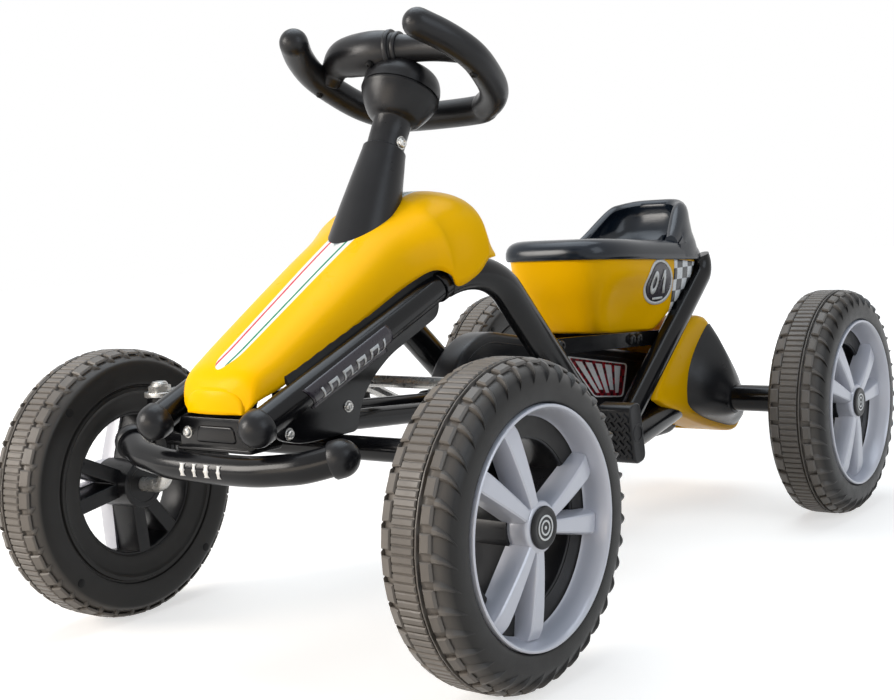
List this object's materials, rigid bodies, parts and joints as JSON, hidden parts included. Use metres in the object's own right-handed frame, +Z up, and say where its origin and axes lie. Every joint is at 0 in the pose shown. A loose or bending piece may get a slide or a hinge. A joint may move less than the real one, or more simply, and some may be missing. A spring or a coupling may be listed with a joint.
{
  "type": "pedal go kart",
  "caption": "Child's pedal go kart: bent tube frame, moulded bonnet and seat, steered front wheels with a linked column, and a cased chain drive to the rear axle.",
  "frame": {"origin": "on the floor, midway between the axles and the two sides", "axes": "+Z up, -Y the way the kart drives, +X to the driver's left"},
  "size_m": [0.4722, 0.8246, 0.491],
  "materials": {
    "yellow_gloss": "glossy moulded plastic",
    "black_powder_coat": "semi-gloss powder coat on steel tube",
    "black_plastic": "satin moulded plastic",
    "tyre_black": "matt blow-moulded plastic tyre",
    "rim_silver": "silver painted plastic",
    "zinc_steel": "zinc-plated steel"
  },
  "bodies": {
    "frame": {"side_tube_left": "black_powder_coat", "side_tube_right": "black_powder_coat", "side_tube_cap_left": "black_plastic", "side_tube_cap_right": "black_plastic", "main_tube_left": "black_powder_coat", "main_tube_right": "black_powder_coat", "rear_tube_left": "black_powder_coat", "rear_tube_right": "black_powder_coat", "lower_rail_left": "black_powder_coat", "lower_rail_right": "black_powder_coat", "front_beam": "black_powder_coat", "nose_bracket": "black_powder_coat", "bumper": "black_powder_coat", "bumper_cap_left": "black_plastic", "bumper_cap_right": "black_plastic", "column_foot_bearing": "black_plastic", "column_bracket": "black_powder_coat", "column_cover": "black_plastic", "bonnet": "yellow_gloss", "chain": "zinc_steel", "chain_guard_left": "black_plastic", "chain_guard_right": "black_plastic", "axle_housing_left": "black_powder_coat", "axle_housing_right": "black_powder_coat", "axle_bearing_left": "zinc_steel", "axle_bearing_right": "zinc_steel", "rear_fairing": "yellow_gloss", "fairing_insert_left": "black_plastic", "fairing_insert_right": "black_plastic", "seat_frame": "black_powder_coat", "seat_base": "yellow_gloss", "seat_cushion": "black_plastic"},
    "steering": {"steering_column": "zinc_steel", "steering_hub": "black_plastic", "steering_wheel": "black_plastic"},
    "knuckle_left": {"spindle_left": "zinc_steel", "steering_arm_left": "zinc_steel", "kingpin_nut_left": "zinc_steel"},
    "knuckle_right": {"spindle_right": "zinc_steel", "steering_arm_right": "zinc_steel", "kingpin_nut_right": "zinc_steel"},
    "tie_rod": {"tie_rod": "zinc_steel"},
    "front_wheel_left": {"tyre_front_left": "tyre_black", "rim_front_left": "rim_silver", "hub_cap_front_left": "black_plastic"},
    "front_wheel_right": {"tyre_front_right": "tyre_black", "rim_front_right": "rim_silver", "hub_cap_front_right": "black_plastic"},
    "rear_axle": {"rear_axle": "zinc_steel", "rear_sprocket": "zinc_steel", "tyre_rear_left": "tyre_black", "rim_rear_left": "rim_silver", "hub_cap_rear_left": "black_plastic", "tyre_rear_right": "tyre_black", "rim_rear_right": "rim_silver", "hub_cap_rear_right": "black_plastic"},
    "crank": {"crankshaft": "zinc_steel", "chainring": "zinc_steel"},
    "pedal_left": {"pedal_left": "black_plastic"},
    "pedal_right": {"pedal_right": "black_plastic"}
  },
  "joints": [
    {"name": "steering_turn", "type": "hinge", "parent": "frame", "child": "steering", "pos_m": [0, -0.193, 0.324], "axis": [0, 0.4772, 0.8788], "range_deg": [-50, 50]},
    {"name": "knuckle_left_turn", "type": "hinge", "parent": "frame", "child": "knuckle_left", "pos_m": [0.145, -0.297, 0.115], "axis": [0, 0, 1], "range_deg": [-23, 23]},
    {"name": "knuckle_right_turn", "type": "hinge", "parent": "frame", "child": "knuckle_right", "pos_m": [-0.145, -0.297, 0.115], "axis": [0, 0, 1], "range_deg": [-23, 23]},
    {"name": "tie_rod_pivot", "type": "hinge", "parent": "knuckle_left", "child": "tie_rod", "pos_m": [0.145, -0.217, 0.115], "axis": [0, 0, 1], "range_deg": [-23, 23]},
    {"name": "front_wheel_left_spin", "type": "hinge", "parent": "knuckle_left", "child": "front_wheel_left", "pos_m": [0.20299, -0.29822, 0.115], "axis": [0.9998, -0.0209, 0], "continuous": true},
    {"name": "front_wheel_right_spin", "type": "hinge", "parent": "knuckle_right", "child": "front_wheel_right", "pos_m": [-0.20299, -0.29822, 0.115], "axis": [0.9998, 0.0209, 0], "continuous": true},
    {"name": "rear_axle_spin", "type": "hinge", "parent": "frame", "child": "rear_axle", "pos_m": [0, 0.297, 0.115], "axis": [1, 0, 0], "continuous": true},
    {"name": "crank_spin", "type": "hinge", "parent": "frame", "child": "crank", "pos_m": [0, -0.04, 0.149], "axis": [1, 0, 0], "continuous": true},
    {"name": "pedal_left_spin", "type": "hinge", "parent": "crank", "child": "pedal_left", "pos_m": [0.1138, 0.01528, 0.12322], "axis": [1, 0, 0], "continuous": true},
    {"name": "pedal_right_spin", "type": "hinge", "parent": "crank", "child": "pedal_right", "pos_m": [-0.1138, -0.09528, 0.17478], "axis": [1, 0, 0], "continuous": true}
  ],
  "couplings": [
    {"joint": "knuckle_left_turn", "follows": "steering_turn", "ratio": 0.45},
    {"joint": "knuckle_right_turn", "follows": "steering_turn", "ratio": 0.45},
    {"joint": "tie_rod_pivot", "follows": "steering_turn", "ratio": -0.45},
    {"joint": "crank_spin", "follows": "rear_axle_spin", "ratio": 0.64}
  ]
}
